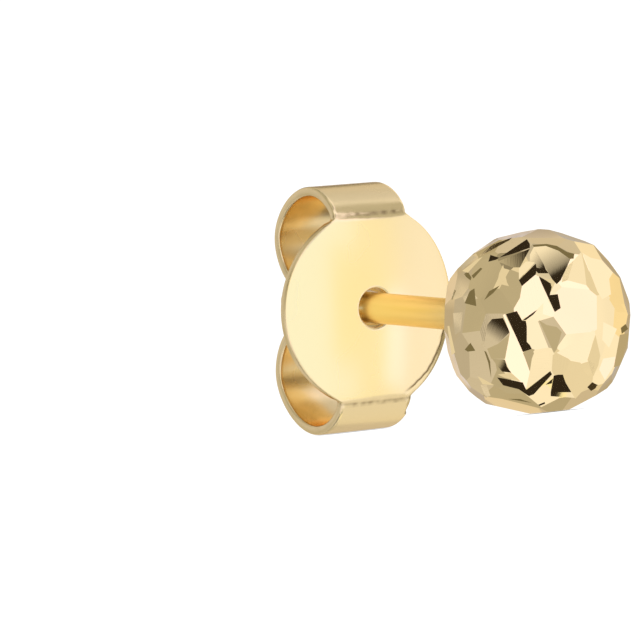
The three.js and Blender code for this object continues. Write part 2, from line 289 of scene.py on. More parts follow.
cloth_light = plain_light("tent", (1, 1, 1))
tree = cloth_light.node_tree
painted = add(tree, "VertexColor", layer_name="paint")
join(painted, "Color", tree.nodes["Emission"], "Color")
tent = put_in_stage(mesh_from("tent", wall), cloth_light)
tent.location = centre
print("corners of the tent's mesh:", len(tent.data.vertices))

# %% [markdown]
# Polished pieces also mirror each other, and too much of that muddies them. So one sheet of tissue
# is hung between ball and back, with the post through it. The disc mirrors its bright side, where a
# warmer field beside the post gives the disc its buttery middle. The ball mirrors the mottled grey
# side. Two small cards face the wings, and a third gives the disc its bright spot.

# %% Hang the tissue
TISSUE_FROM_CENTRE = 2.35  # mm, along the post
TISSUE_COLUMNS = (-4.6, 0.2, 1.5)  # mm, the sides of its fields from left to right
TISSUE_ROWS = (-2.7, -1.8, 1.3, 2.7)  # mm, the same from bottom to top
TISSUE_LIGHT = (1.0, 1.15, 1.38)
WARM_FIELD = 3  # counted row by row from the lower left, which is 0
MOTTLE_SCALE = 1100  # per m
MOTTLE_SHARES = (0.8, 1.2)  # how dim and how bright the grey side gets


def remap(source, output, to_low, to_high, low=0, high=1):
    """A node that stretches what runs from low to high, so that it runs from to_low to to_high."""
    limits = {"From Min": low, "From Max": high, "To Min": to_low, "To Max": to_high}
    node = add(source.id_data, "MapRange", **limits)
    join(source, output, node, "Value")
    return node


def two_sided(name, front):
    """A light with its colour on the side its faces point to, and mottled grey on the other."""
    material = plain_light(name, front)
    tree = material.node_tree
    place = add(tree, "TexCoord")
    mottle = add(tree, "TexNoise", Scale=MOTTLE_SCALE)
    join(place, "Object", mottle, "Vector")
    other = add(tree, "Emission", Color=(*LIGHTS["beige"], 1))
    strength = remap(mottle, "Fac", *MOTTLE_SHARES, low=0.42, high=0.58)
    join(strength, "Result", other, "Strength")
    side = add(tree, "NewGeometry")
    choice = add(tree, "MixShader")
    join(side, "Backfacing", choice, "Fac")
    join(tree.nodes["Emission"], 0, choice, 1)
    join(other, 0, choice, 2)
    join(choice, 0, tree.nodes["Material Output"], "Surface")
    return material


columns = len(TISSUE_COLUMNS)
corners = [lie @ Vector((x, TISSUE_FROM_CENTRE, z)) for z in TISSUE_ROWS for x in TISSUE_COLUMNS]
starts = [k for k in range(len(corners) - columns) if (k + 1) % columns]
fields = [(k, k + columns, k + columns + 1, k + 1) for k in starts]
tissue_mesh = bpy.data.meshes.new("tissue")
tissue_mesh.from_pydata(corners, [], fields)
tissue_mesh.polygons[WARM_FIELD].material_index = 1
put_in_stage(
    tissue_mesh, two_sided("tissue", TISSUE_LIGHT), two_sided("warm_tissue", LIGHTS["butter"]))
print("fields of tissue:", len(fields))

# %% Stand up the cards
SQUARE = ((-1, -1), (1, -1), (1, 1), (-1, 1))

# place and towards are in mm about the post's axis, wide and high in mm.
CARDS = (
    {"light": "tan", "place": (1.8, 4.7, 4.1), "towards": (0, 6.2, 2.3), "wide": 3.4, "high": 2.6},
    {"light": "fair", "place": (1.8, 5.4, -4.4), "towards": (0, 6.2, -2.3), "wide": 3.4, "high": 5.4},
    {"light": "white", "place": (2.3, 4.06, -1.0), "towards": (0.6, 5.86, -0.8), "wide": 2.4, "high": 0.7},
)
for number, card in enumerate(CARDS, 1):
    name = "wing_card_%d" % number
    place, towards = lie @ Vector(card["place"]), lie @ Vector(card["towards"])
    ahead = (towards - place).normalized()
    sideways = ahead.cross(along_post).normalized() * card["wide"] * MM / 2
    tall = sideways.cross(ahead).normalized() * card["high"] * MM / 2
    card_mesh = bpy.data.meshes.new(name)
    card_mesh.from_pydata([place + sideways * s + tall * t for s, t in SQUARE], [], [(0, 1, 2, 3)])
    put_in_stage(card_mesh, plain_light(name, LIGHTS[card["light"]]))
print("cards:", len(CARDS))

# %% [markdown]
# ## The white sweep
#
# Behind and below, the photograph is plain white. The backdrop is a white dome that only the camera
# sees, and the table is a white sheet with a painted contact shadow, a little darker where the earring
# comes close to it.

# %% Roll out the sweep
BACKDROP_RADIUS = 0.35  # m
TABLE_HALF = 0.2  # m
TABLE_GAP = 0.00001  # m, so that it lies just under the earring
SHADE_REACH = 0.0002  # m, how close the earring is where the table takes its painted contact shadow
WHITE = 1.1  # over 1, so that it stays white however the picture is graded
STUDIO = (0.9, 0.9, 0.9, 1)  # the soft light all round

bpy.context.scene.view_settings.view_transform = "Standard"
world = bpy.data.worlds.new("studio")
bpy.context.scene.world = world
world.use_nodes = True
world.node_tree.nodes["Background"].inputs["Color"].default_value = STUDIO

dome = bmesh.new()
bmesh.ops.create_icosphere(dome, subdivisions=4, radius=BACKDROP_RADIUS)
put_in_stage(mesh_from("backdrop", dome), plain_light("backdrop", (1, 1, 1), WHITE),
             unseen_by=("diffuse", "glossy", "transmission", "volume_scatter", "shadow"))

floor_mesh = bpy.data.meshes.new("floor")
floor_mesh.from_pydata(
    [(x * TABLE_HALF, y * TABLE_HALF, -TABLE_GAP) for x, y in SQUARE], [], [(0, 1, 2, 3)])
paper = plain_light("floor", (1, 1, 1), WHITE)
tree = paper.node_tree
# ambient occlusion darkens the table's glow near the earring: a painted contact shadow
painted_contact_shadow = add(tree, "AmbientOcclusion", Distance=SHADE_REACH, samples=12)
join(painted_contact_shadow, "Color", tree.nodes["Emission"], "Color")
put_in_stage(floor_mesh, paper, unseen_by=("diffuse", "glossy", "shadow"))

# %% [markdown]
# ## The gold
#
# The ball and the back are the same yellow gold with different finishes, and the post is wire of a
# slightly deeper tone. The metal's colour is a number on the shader itself. What differs most is the
# surface: how fine its polish is, and what the tools have left.

# %% Mix the gold
GOLD = (1.0, 0.78, 0.4, 1)
WIRE_TONE = (1.0, 0.77, 0.32, 1)
EDGE_TINT = (1.0, 0.86, 0.62, 1)  # gold stays warm where it is seen at a low angle


def gold(name, roughness, tone=GOLD):
    material = bpy.data.materials.new(name)
    material.use_nodes = True
    shader = material.node_tree.nodes["Principled BSDF"]
    shader.inputs["Base Color"].default_value = tone
    shader.inputs["Metallic"].default_value = 1
    shader.inputs["Roughness"].default_value = roughness
    shader.inputs["Specular Tint"].default_value = EDGE_TINT
    return material, material.node_tree, shader


# %% [markdown]
# ## The ball
#
# A diamond-cut bead is a plain gold ball that a spinning diamond tool has touched some two hundred
# times, each touch leaving one small bright facet. The facets meet in crisp ridges. Because the tool
# swings in an arc, no facet is quite flat: it is a very shallow trough, deeper one way than the
# other. The corners are read from the CAD ball. The troughs are shallower than any mesh would show,
# so they go into the shading of the facets.

# %% Read the facets
SAME_PLACE = 0.0005  # mm, within which corners are one

random.seed(4)
to_post_axis = lie.inverted()
hull = bmesh.new()
for corner in (to_post_axis @ p for p in stud_points):
    if corner.y < SEAT_FROM_CENTRE + SAME_PLACE:
        hull.verts.new(corner)
bmesh.ops.remove_doubles(hull, verts=hull.verts, dist=SAME_PLACE)
bmesh.ops.convex_hull(hull, input=hull.verts)
bmesh.ops.delete(hull, geom=[v for v in hull.verts if not v.link_faces], context="VERTS")
bmesh.ops.dissolve_limit(hull, angle_limit=math.radians(0.4), verts=hull.verts, edges=hull.edges)
hull.normal_update()
print("facets on the ball:", len(hull.faces), "corners:", len(hull.verts))

# %% [markdown]
# The tool goes over the bead a second time, more lightly and at other angles. The second cuts are
# only microns deep, but each mirrors another part of the room, so they give the bead its sharp dark
# flashes. They are placed on the side that the picture shows.

# %% Place the second cuts
# like is the place on the ball that a cut is parallel to, and fade the same at its far end. All
# places are shares of the ball's radius, right and up, as the camera sees it.
SECOND_CUTS = (
    # small ones round the edge and on the bright side
    {"like": (-0.64, 0.2), "corners": ((-0.58, 0.55), (-0.56, 0.54), (-0.65, 0.44), (-0.67, 0.47))},
    {"like": (-0.64, 0.2),
     "corners": ((-0.75, 0.49), (-0.71, 0.51), (-0.67, 0.45), (-0.68, 0.42), (-0.73, 0.46))},
    {"like": (-0.39, 0.42), "corners": ((-0.61, 0.64), (-0.56, 0.66), (-0.71, 0.5), (-0.77, 0.52))},
    {"like": (-0.64, 0.2), "corners": ((-0.85, 0.33), (-0.83, 0.32), (-0.87, 0.22), (-0.88, 0.23))},
    {"like": (-0.72, 0.26), "corners": ((-0.8, 0.61), (-0.69, 0.69), (-0.62, 0.66), (-0.77, 0.53))},
    {"like": (-0.72, 0.26), "corners": ((-0.86, 0.09), (-0.76, 0.1), (-0.78, -0.09), (-0.84, -0.13))},
    {"like": (-0.39, 0.42), "corners": ((-0.92, -0.04), (-0.9, -0.04), (-0.84, -0.31), (-0.88, -0.34))},
    {"like": (-0.64, 0.2), "corners": ((-0.74, -0.28), (-0.68, -0.21), (-0.63, -0.29), (-0.71, -0.3))},
    {"like": (-0.64, 0.2),
     "corners": ((-0.54, -0.29), (-0.52, -0.3), (-0.48, -0.4), (-0.47, -0.57), (-0.5, -0.41))},
    {"like": (-0.39, 0.42),
     "corners": ((-0.61, -0.55), (-0.53, -0.59), (-0.44, -0.64), (-0.56, -0.63))},
    {"like": (-0.72, 0.26),
     "corners": ((-0.58, -0.64), (-0.52, -0.63), (-0.48, -0.75), (-0.53, -0.77))},
    {"like": (-0.64, 0.2), "corners": ((-0.3, -0.78), (-0.18, -0.78), (-0.06, -0.82), (-0.18, -0.8))},
    {"like": (0.4, 0.13),
     "corners": ((0.66, -0.37), (0.79, -0.35), (0.78, -0.43), (0.68, -0.59), (0.62, -0.48))},
    {"like": (0.58, 0.44),
     "corners": ((0.58, -0.13), (0.63, -0.34), (0.61, -0.44), (0.56, -0.55), (0.5, -0.38))},
    {"like": (0.54, 0.77), "corners": ((0.26, 0.53), (0.36, 0.62), (0.3, 0.42), (0.24, 0.4))},
    {"like": (0.42, -0.27), "corners": ((0.66, 0), (0.8, -0.07), (0.72, -0.26), (0.65, -0.18))},
    # the dark and bright ones in the middle
    {"like": (-0.55, 0.77),
     "corners": ((-0.59, 0.67), (-0.51, 0.75), (-0.45, 0.79), (-0.26, 0.86), (-0.29, 0.83),
                 (-0.47, 0.73))},
    {"like": (-0.34, 0.76),
     "corners": ((-0.39, 0.65), (-0.11, 0.84), (-0.08, 0.79), (-0.08, 0.75), (-0.25, 0.69))},
    {"like": (-0.34, 0.76), "corners": ((-0.5, 0.61), (-0.48, 0.68), (-0.39, 0.65), (-0.42, 0.63))},
    {"like": (-0.31, 0.61), "fade": (-0.14, 0.71),
     "corners": ((-0.41, 0.61), (-0.08, 0.74), (-0.18, 0.55), (-0.26, 0.55), (-0.35, 0.59))},
    {"like": (0, 0.55),
     "corners": ((-0.19, 0.42), (-0.02, 0.59), (-0.01, 0.53), (-0.02, 0.48), (-0.16, 0.36))},
    {"like": (0.12, 0.7),
     "corners": ((-0.19, 0.46), (-0.19, 0.54), (-0.12, 0.61), (-0.02, 0.61), (-0.19, 0.43))},
    {"like": (-0.39, 0.42),
     "corners": ((-0.35, 0.58), (-0.31, 0.4), (-0.29, 0.36), (-0.41, 0.39), (-0.39, 0.49))},
    {"like": (-0.64, 0.2), "corners": ((-0.74, 0.19), (-0.69, 0.31), (-0.64, 0.34), (-0.62, 0.16))},
    {"like": (-0.64, 0.2), "corners": ((-0.54, 0.22), (-0.49, 0.31), (-0.38, 0.37), (-0.45, 0.29))},
    {"like": (0.12, 0.7), "fade": (0.13, 0.55),
     "corners": ((-0.04, 0.76), (0.08, 0.77), (0.21, 0.72), (0.33, 0.64), (0.3, 0.57), (0.23, 0.42),
                 (0.19, 0.38), (0.15, 0.42), (0.06, 0.58))},
    {"like": (0.12, 0.7), "fade": (0.13, 0.55),
     "corners": ((-0.08, 0.68), (-0.04, 0.76), (0.06, 0.58), (0.08, 0.53), (-0.01, 0.55),
                 (-0.02, 0.6), (-0.08, 0.61))},
    {"like": (0, 0.55),
     "corners": ((-0.02, 0.55), (0.08, 0.53), (0.16, 0.42), (0.11, 0.49), (0.01, 0.49), (-0.01, 0.51))},
    {"like": (-0.39, 0.7),
     "corners": ((-0.05, 0.78), (0.09, 0.79), (0.19, 0.77), (0.29, 0.71), (0.37, 0.69),
                 (0.36, 0.64), (0.32, 0.64), (0.21, 0.72), (0.08, 0.77), (-0.03, 0.76))},
    {"like": (-0.01, 0.4),
     "corners": ((0.05, 0.36), (0.13, 0.38), (0.14, 0.35), (0.12, 0.27), (0.2, 0.28), (0.23, 0.14),
                 (0.17, 0.1))},
    {"like": (0.13, 0.55), "corners": ((0.01, 0.46), (0.08, 0.42), (0.14, 0.38), (0.05, 0.36))},
    {"like": (-0.06, 0.27),
     "corners": ((-0.02, 0.48), (0.01, 0.46), (0.08, 0.25), (-0.16, 0.02), (-0.2, 0.12),
                 (-0.16, 0.36))},
    {"like": (-0.06, 0.27),
     "corners": ((0.06, 0.22), (0.08, 0.25), (0.17, 0.1), (0.15, 0.05), (0.05, 0.08))},
    {"like": (0.27, 0.12),
     "corners": ((-0.15, 0.02), (-0.07, 0.08), (-0.01, 0.12), (-0.05, 0.07), (-0.12, 0.02))},
    {"like": (0.58, 0.44),
     "corners": ((0.44, 0.71), (0.6, 0.3), (0.52, 0.33), (0.49, 0.37), (0.46, 0.55))},
    {"like": (0.12, 0.7),
     "corners": ((0.36, 0.62), (0.44, 0.71), (0.47, 0.55), (0.49, 0.37), (0.3, 0.42))},
    {"like": (0.68, 0.53),
     "corners": ((0.45, 0.7), (0.61, 0.61), (0.72, 0.46), (0.74, 0.28), (0.65, 0.23), (0.6, 0.31))},
    {"like": (0.83, 0.33),
     "corners": ((0.78, 0.31), (0.83, 0.2), (0.89, 0.1), (0.8, 0.1), (0.72, 0.23))},
    {"like": (-0.44, -0.11), "fade": (-0.32, 0),
     "corners": ((-0.54, -0.23), (-0.51, -0.03), (-0.46, 0.03), (-0.35, 0.04), (-0.28, -0.1),
                 (-0.4, -0.22), (-0.51, -0.27))},
    {"like": (-0.24, 0.36),
     "corners": ((-0.51, -0.27), (-0.4, -0.22), (-0.28, -0.12), (-0.33, -0.37), (-0.47, -0.37))},
    {"like": (-0.3, -0.27), "corners": ((-0.35, 0.07), (-0.33, 0.08), (-0.15, -0.29), (-0.28, -0.11))},
    {"like": (-0.3, -0.27),
     "corners": ((-0.28, -0.11), (-0.15, -0.3), (-0.08, -0.5), (-0.12, -0.68), (-0.18, -0.61),
                 (-0.28, -0.5), (-0.33, -0.38))},
    {"like": (0.27, 0.12),
     "corners": ((-0.32, 0.08), (-0.21, 0.11), (-0.16, 0.02), (-0.12, 0.01), (-0.11, -0.05),
                 (-0.11, -0.2), (-0.08, -0.23), (-0.06, -0.27), (-0.15, -0.3))},
    {"like": (-0.24, 0.36),
     "corners": ((-0.15, -0.31), (-0.06, -0.28), (-0.04, -0.32), (-0.06, -0.37), (-0.12, -0.39))},
    {"like": (-0.09, -0.37), "corners": ((-0.12, -0.39), (-0.06, -0.37), (-0.08, -0.5))},
    {"like": (-0.47, -0.5), "fade": (-0.4, -0.43),
     "corners": ((-0.27, -0.51), (-0.31, -0.45), (-0.33, -0.38), (-0.46, -0.37), (-0.41, -0.44),
                 (-0.36, -0.5))},
    {"like": (-0.19, -0.63),
     "corners": ((-0.41, -0.56), (-0.34, -0.57), (-0.15, -0.61), (-0.12, -0.68), (-0.06, -0.72),
                 (-0.09, -0.75), (-0.19, -0.68), (-0.35, -0.64))},
    {"like": (-0.39, 0.42), "corners": ((-0.4, -0.53), (-0.27, -0.51), (-0.17, -0.6), (-0.34, -0.56))},
    {"like": (-0.2, -0.47),
     "corners": ((-0.08, -0.5), (-0.04, -0.33), (0.11, -0.29), (0.14, -0.49), (-0.12, -0.68))},
    {"like": (-0.12, -0.65),
     "corners": ((-0.11, -0.68), (0.13, -0.49), (0.14, -0.53), (-0.04, -0.73), (-0.09, -0.75))},
    {"like": (-0.12, -0.65), "corners": ((0.08, -0.63), (0.15, -0.57), (0.14, -0.62))},
    {"like": (0.21, -0.59),
     "corners": ((0.16, -0.54), (0.25, -0.52), (0.28, -0.61), (0.33, -0.61), (0.37, -0.71),
                 (0.13, -0.71))},
    {"like": (0.21, -0.59), "fade": (0.08, -0.76),
     "corners": ((0.13, -0.71), (0.37, -0.71), (0.39, -0.77), (0.13, -0.75))},
    {"like": (-0.24, 0.36),
     "corners": ((0.01, 0.02), (0.09, -0.03), (0.19, -0.05), (0.24, -0.1), (0.19, -0.28),
                 (0.16, -0.31))},
    {"like": (0.42, -0.27),
     "corners": ((0.19, -0.31), (0.4, -0.18), (0.56, -0.08), (0.58, -0.12), (0.49, -0.38),
                 (0.42, -0.4), (0.33, -0.38))},
    {"like": (0.27, -0.43),
     "corners": ((0.15, -0.33), (0.19, -0.31), (0.33, -0.39), (0.26, -0.53), (0.16, -0.53),
                 (0.14, -0.5))},
    {"like": (0.45, -0.57),
     "corners": ((0.33, -0.39), (0.43, -0.41), (0.47, -0.5), (0.55, -0.59), (0.38, -0.78),
                 (0.28, -0.61), (0.26, -0.53))},
    {"like": (0.49, -0.73),
     "corners": ((0.5, -0.66), (0.55, -0.61), (0.61, -0.64), (0.59, -0.67), (0.54, -0.7))},
    {"like": (0.88, -0.15), "corners": ((0.84, -0.06), (0.89, -0.02), (0.92, -0.07), (0.85, -0.12))},
    {"like": (0.9, -0.26),
     "corners": ((0.83, -0.13), (0.94, -0.11), (0.88, -0.32), (0.85, -0.44), (0.77, -0.46),
                 (0.8, -0.3))},
    {"like": (-0.12, -0.65), "corners": ((0, -0.84), (0.07, -0.81), (0.07, -0.83), (0.02, -0.85))},
)

# %% [markdown]
# Each second cut is an outline as the camera sees it. Planes along the line of sight split the
# facets under every edge of it, and the faces inside then belong to that cut. No corner moves, so
# the ball keeps its shape.

# %% Cut the facets
BALL_RADIUS = 2.1  # mm, of the bead before it is cut

to_ball = to_post_axis.to_3x3().normalized()
ball_right, ball_up, ball_out = (to_ball @ way for way in (sight_right, sight_up, sight))
first_cut = hull.faces.layers.int.new("first")
second_cut = hull.faces.layers.int.new("second")
for number, facet in enumerate(hull.faces):
    facet[first_cut] = number


def seen(point):
    return Vector((point.dot(ball_right), point.dot(ball_up))) / BALL_RADIUS


def may_meet(facet, outline):
    """True when the boxes round a facet and an outline overlap as the camera sees them."""
    spots = [seen(v.co) for v in facet.verts]
    return facet.normal.dot(ball_out) > 0 and all(
        min(s[k] for s in spots) < max(c[k] for c in outline)
        and max(s[k] for s in spots) > min(c[k] for c in outline) for k in (0, 1))


def is_inside(spot, outline):
    crossings = 0
    for a, b in zip(outline, outline[1:] + outline[:1]):
        if (a.y > spot.y) != (b.y > spot.y):
            crossings += spot.x < a.x + (spot.y - a.y) * (b.x - a.x) / (b.y - a.y)
    return crossings % 2 == 1


for number, cut in enumerate(SECOND_CUTS, 1):
    outline = [Vector(corner) for corner in cut["corners"]]
    for a, b in zip(outline, outline[1:] + outline[:1]):
        near = [facet for facet in hull.faces if may_meet(facet, outline)]
        edges = {edge for facet in near for edge in facet.edges}
        corners = {v for facet in near for v in facet.verts}
        way = ball_right * (b.x - a.x) + ball_up * (b.y - a.y)
        bmesh.ops.bisect_plane(
            hull, geom=[*corners, *edges, *near], dist=SAME_PLACE, plane_no=way.cross(ball_out),
            plane_co=(ball_right * a.x + ball_up * a.y) * BALL_RADIUS)
    hull.normal_update()
    for facet in hull.faces:
        if may_meet(facet, outline) and is_inside(seen(facet.calc_center_median()), outline):
            facet[second_cut] = number
print("faces on the ball after the second cuts:", len(hull.faces))

# %% Sort the faces by cut
cut_map = hull.loops.layers.uv.new("cut")
wear = hull.faces.layers.float.new("wear")
cuts = {}
for facet in hull.faces:
    key = (facet[first_cut], 0) if facet[second_cut] == 0 else (0, facet[second_cut])
    cuts.setdefault(key, []).append(facet)
print("cuts that the ball shows, first and second:", len(cuts))

# %% [markdown]
# Now every corner learns which way the cut's surface faces there. A first cut is a trough along a
# grain of its own. A second cut is parallel to another place on the ball, or turns softly from one
# such place to another. The map along the grain is for the tool's fine lines, which show more on the
# ball's left side.

# %% Shade the cuts
TROUGH = 0.1  # 1/mm, how strongly a first cut curves across the tool's path
TROUGH_ALONG = 0.035  # 1/mm, and along it
TROUGH_SPREAD = (0.3, 1.5)  # how that differs from cut to cut
SECOND_TROUGH = 0.3  # of a first cut's curve
WEAR_BY_CHANCE = 0.6
WEAR_LEFT = 1.2  # per radius, left of WEAR_FROM
WEAR_FROM = -0.4  # of the radius


def facing(across, upward):
    return ball_right * across + ball_up * upward + ball_out * math.sqrt(1 - across ** 2 - upward ** 2)


shading = {}
for (_, second), facets in cuts.items():
    middle = sum((facet.calc_center_median_weighted() for facet in facets), Vector()) / len(facets)
    normal = facets[0].normal.copy()
    grain = Vector([random.uniform(-1, 1) for _ in range(3)])
    grain = (grain - normal * grain.dot(normal)).normalized()
    across = normal.cross(grain)
    curve = TROUGH * random.uniform(*TROUGH_SPREAD)
    curve_along = TROUGH_ALONG * random.uniform(-1, 1)
    worn = WEAR_BY_CHANCE * random.random() ** 3 + WEAR_LEFT * max(0, WEAR_FROM - seen(middle).x)
    if second:
        cut = SECOND_CUTS[second - 1]
        near_end = facing(*cut["like"])
        far_end = facing(*cut.get("fade", cut["like"]))
        start = Vector(cut["corners"][0])
        finish = max((Vector(c) for c in cut["corners"]), key=lambda c: (c - start).length)
        run = finish - start
    for facet in facets:
        facet.smooth = True
        facet[wear] = worn
        for loop in facet.loops:
            place = loop.vert.co
            off = place - middle
            loop[cut_map].uv = (place.dot(grain), place.dot(across))
            lean = across * off.dot(across) * curve + grain * off.dot(grain) * curve_along
            if second:
                share = min(1, max(0, (seen(place) - start).dot(run) / run.length_squared))
                shading[loop] = (near_end.lerp(far_end, share) - lean * SECOND_TROUGH).normalized()
            else:
                shading[loop] = (normal - lean).normalized()

# %% Make the ball
for edge in hull.edges:
    one, other = edge.link_faces
    same_first = one[second_cut] == 0 and one[first_cut] == other[first_cut]
    edge.smooth = one[second_cut] == other[second_cut] and (one[second_cut] > 0 or same_first)

turn = lie.to_3x3().normalized()
normals = [turn @ shading[loop] for facet in hull.faces for loop in facet.loops]
ball_mesh = mesh_from("cut_ball", hull)
ball_mesh.transform(lie)
ball_mesh.normals_split_custom_set(normals)
cut_ball = new_object("cut_ball", ball_mesh)
print("corners of the ball's mesh:", len(ball_mesh.vertices))

# %% [markdown]
# The facets are bright cut: almost a mirror, with the faint parallel lines of the tool running
# across each one in its own direction. The lines are finer than a hair, so they are a shallow bump
# along the facet's own map and a little unevenness in the polish.

# %% Finish the facets
LINE_SCALE = (2, 30, 1)  # per mm, along and across the grain
LINE_HEIGHT = 0.00001  # m
LINE_STRENGTH = (0.02, 0.3)  # on a fresh cut and on a worn one
CUT_ROUGHNESS = (0.02, 0.1)

cut_gold, tree, shader = gold("cut_gold", 0.06)
cut_map = add(tree, "UVMap", uv_map="cut")
stretch = add(tree, "Mapping", Scale=LINE_SCALE)
lines = add(tree, "TexNoise", Scale=1.0, Detail=3.0, Roughness=0.6)
bump = add(tree, "Bump", Distance=LINE_HEIGHT)
worn = add(tree, "Attribute", attribute_name="wear")
join(cut_map, "UV", stretch, "Vector")
join(stretch, "Vector", lines, "Vector")
join(lines, "Fac", bump, "Height")
join(remap(worn, "Fac", *LINE_STRENGTH), "Result", bump, "Strength")
join(remap(lines, "Fac", *CUT_ROUGHNESS), "Result", shader, "Roughness")
join(bump, "Normal", shader, "Normal")
cut_ball.data.materials.append(cut_gold)
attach(cut_ball, "stud")
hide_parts("ball_and_post")

# %% [markdown]
# ## The post
#
# The post is a length of drawn wire. Solder draws a small fillet round its foot, its tip is rounded
# so that it passes the ear, and a shallow groove near the tip lets the wearer feel that the back is on.

# %% Turn the post
POST_RADIUS = 0.35  # mm
POST_SIDES = 72
FOOT_DEPTH = 0.3  # mm, how far the wire reaches into the ball
SOLDER_SPREAD = 0.16  # mm
TIP_ROUNDING = 0.2  # mm
GROOVE_FROM_TIP = 1.0  # mm
GROOVE_WIDTH = 0.22  # mm
GROOVE_DEPTH = 0.03  # mm
STEPS = 8  # in each rounding
QUARTER = [(math.sin(a), math.cos(a)) for a in (math.radians(90 * i / STEPS) for i in range(STEPS + 1))]


def turned(name, profile, sides):
    """A closed skin turned round the post's axis, from a profile of radius and y, ends on the axis."""
    skin = bmesh.new()
    rows = []
    for radius, y in profile:
        if radius == 0:
            rows.append([skin.verts.new((0, y, 0))])
            continue
        angles = (2 * math.pi * k / sides for k in range(sides))
        rows.append([skin.verts.new((radius * math.cos(a), y, radius * math.sin(a))) for a in angles])
    for low, high in zip(rows, rows[1:]):
        for k in range(sides):
            n = (k + 1) % sides
            ring = [low[k % len(low)], low[n % len(low)], high[n % len(high)], high[k % len(high)]]
            skin.faces.new(dict.fromkeys(ring))
    bmesh.ops.recalc_face_normals(skin, faces=skin.faces)
    for face in skin.faces:
        face.smooth = True
    return new_object(name, mesh_from(name, skin))


foot = SEAT_FROM_CENTRE - FOOT_DEPTH
groove = TIP_FROM_CENTRE - GROOVE_FROM_TIP
profile = [(0, foot), (POST_RADIUS + SOLDER_SPREAD, foot)]
for sine, cosine in QUARTER:
    profile.append((POST_RADIUS + SOLDER_SPREAD * (1 - sine),
                    SEAT_FROM_CENTRE + SOLDER_SPREAD * (1 - cosine)))
for i in range(STEPS + 1):
    hollow = GROOVE_DEPTH * math.sin(math.pi * i / STEPS) ** 2
    profile.append((POST_RADIUS - hollow, groove + GROOVE_WIDTH * (i / STEPS - 0.5)))
for sine, cosine in QUARTER:
    profile.append((POST_RADIUS - TIP_ROUNDING * (1 - cosine),
                    TIP_FROM_CENTRE - TIP_ROUNDING * (1 - sine)))
profile.append((0, TIP_FROM_CENTRE))
post = turned("post", profile, POST_SIDES)
post.data.transform(lie)
print("post behind the ball in mm:", round(TIP_FROM_CENTRE - SEAT_FROM_CENTRE, 2))

# %% [markdown]
# Drawing leaves faint lines along the wire and a softer shine than the diamond does. The photograph
# shows no image of the post on the disc, so the post is left out of what the other pieces mirror.

# %% Finish the post
WIRE_ROUGHNESS = 0.28
WIRE_LINES = (30000, 900, 30000)  # per m, fine across the wire and long along it

wire_gold, tree, shader = gold("wire_gold", WIRE_ROUGHNESS, tone=WIRE_TONE)
place = add(tree, "TexCoord")
lean_back = math.atan2(along_post.z, along_post.y)
stretch = add(tree, "Mapping", Rotation=(-lean_back, 0, 0), Scale=WIRE_LINES)
lines = add(tree, "TexNoise", Scale=1.0, Detail=3.0)
bump = add(tree, "Bump", Strength=0.08, Distance=LINE_HEIGHT)
join(place, "Object", stretch, "Vector")
join(stretch, "Vector", lines, "Vector")
join(lines, "Fac", bump, "Height")
join(bump, "Normal", shader, "Normal")
post.data.materials.append(wire_gold)
post.visible_glossy = False
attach(post, "stud")
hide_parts("ball_and_post")

# %% [markdown]
# ## The butterfly back
#
# The back is one piece of sheet: a disc with a strip on either side. The disc is bowed from left to
# right, and each strip is folded back and curled round until its end lies along the post and grips
# it. Here the sheet follows one bent line, from the end of the lower strip over the disc to the end
# of the upper one.

# %% Bend the line
SHEET = 0.21  # mm
DISC_RADIUS = 2.28  # mm
SIDE_DROP = 0.29  # mm, how far the disc's left and right edges lie behind its middle
FOLD_DROP = 0.03  # mm, the same for the folds at its top and bottom
LOBE_GAP = 4.16  # mm, from the ball's seat to the middle of the disc
STRIP_WIDTH = 1.96  # mm
STRIP_END_WIDTH = 1.76  # mm
GRIP_CLEARANCE = 0.03  # mm
FOLD_SHARE = 0.88  # of the disc's radius
FOLD_LEAN = 0.24  # how far back a strip leans after its crease, over how far it rises
CURVE_TENSION = 0.48
FOLD_TENSION = 0.42
CREST_TENSION = 0.56
DISC_ROWS = 70
BEND_ROWS = 34
GRIP_ROWS = 10
disc_middle = SEAT_FROM_CENTRE + LOBE_GAP + SHEET / 2
disc_edge = disc_middle + SIDE_DROP
grip_height = POST_RADIUS + GRIP_CLEARANCE + SHEET / 2

# rise and depth in mm, the others as shares of them, as the CAD solid has them.
LOOPS = {
    "upper": {
        "side": 1, "rise": 2.77, "depth": 2.33, "crest": 0.33, "back": 0.53, "grip": 0.62, "end": 0.06},
    "lower": {
        "side": -1, "rise": 2.9, "depth": 2.5, "crest": 0.37, "back": 0.54, "grip": 0.6, "end": 0.05},
}


# %% Draw one half of the line
def bezier(a, b, c, d, steps):
    """Points along a cubic curve, evenly spaced, without the first."""
    fine = []
    for i in range(8 * steps + 1):
        t = i / (8 * steps)
        s = 1 - t
        fine.append(a * s ** 3 + b * 3 * s * s * t + c * 3 * s * t * t + d * t ** 3)
    run = [0.0]
    for p, q in zip(fine, fine[1:]):
        run.append(run[-1] + (q - p).length)
    points, k = [], 0
    for i in range(1, steps + 1):
        goal = run[-1] * i / steps
        while run[k + 1] < goal - 1e-9 and k + 2 < len(run):
            k += 1
        t = (goal - run[k]) / (run[k + 1] - run[k])
        points.append(fine[k].lerp(fine[k + 1], min(1, t)))
    return points


